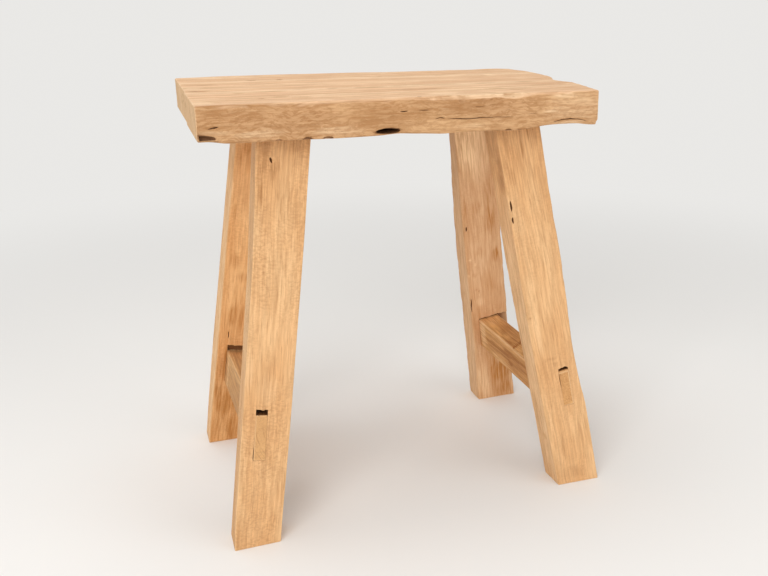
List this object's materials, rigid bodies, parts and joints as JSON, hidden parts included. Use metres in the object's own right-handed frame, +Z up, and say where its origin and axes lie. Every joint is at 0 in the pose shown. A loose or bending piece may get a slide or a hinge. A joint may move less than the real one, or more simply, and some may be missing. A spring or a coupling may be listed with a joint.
{
  "type": "plank stool",
  "caption": "Rustic wooden stool: a thick rough-hewn plank seat on splayed square legs, tied front to back by a tenoned stretcher at each end.",
  "frame": {"origin": "on the floor, under the middle of the stool", "axes": "+X along the seat to the right, -Y to the front, +Z up"},
  "size_m": [0.469, 0.3138, 0.5],
  "materials": {
    "seat_elm": "rough hewn, dry, unfinished, matte",
    "leg_elm": "planed by hand, dry, unfinished, matte",
    "stretcher_elm": "sawn, dry, darker with age, matte"
  },
  "bodies": {
    "root": {"seat_plank": "seat_elm", "leg_front_left": "leg_elm", "leg_front_right": "leg_elm", "leg_back_left": "leg_elm", "leg_back_right": "leg_elm", "stretcher_left": "stretcher_elm", "stretcher_right": "stretcher_elm"}
  },
  "joints": []
}
